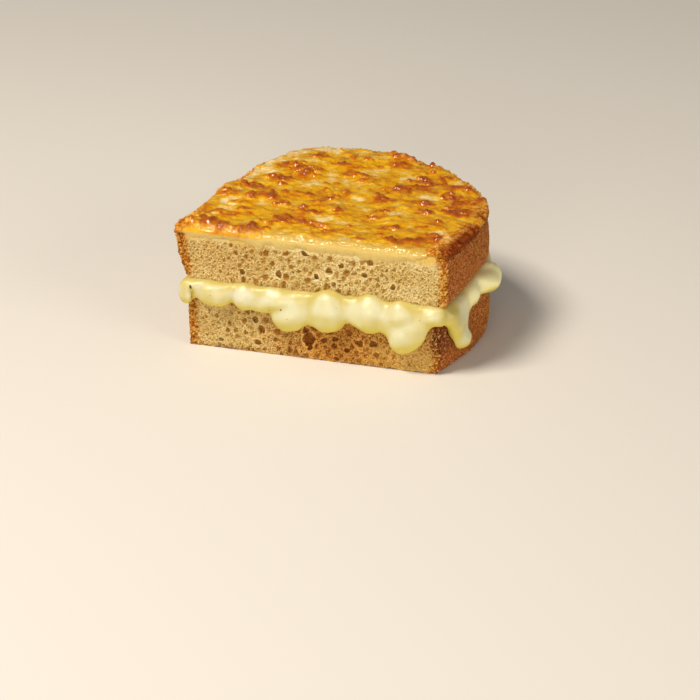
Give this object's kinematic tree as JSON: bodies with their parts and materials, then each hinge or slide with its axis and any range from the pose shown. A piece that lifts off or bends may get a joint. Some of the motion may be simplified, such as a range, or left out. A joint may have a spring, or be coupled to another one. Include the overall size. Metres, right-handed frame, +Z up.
{
  "type": "grilled cheese sandwich half",
  "caption": "Half of a toasted cheese sandwich: thick sourdough slices, melted cheese sauce running out between them, and a browned baked cheese top.",
  "frame": {"origin": "on the flat underside of the bottom slice, below the middle of the slice", "axes": "+Z up through the layers, +X along the cut towards the straight crust, the cut face looks along -Y"},
  "size_m": [0.1152, 0.1008, 0.0504],
  "materials": {
    "bread": "open crumb at the cut, floured brown crust round the rest, matt",
    "cheese_sauce": "smooth, wet and glossy",
    "baked_cheese": "golden, blistered and browned, oily gloss"
  },
  "bodies": {
    "root": {"bottom_slice": "bread", "cheese_filling": "cheese_sauce", "top_slice": "bread", "cheese_topping": "baked_cheese"}
  },
  "joints": []
}
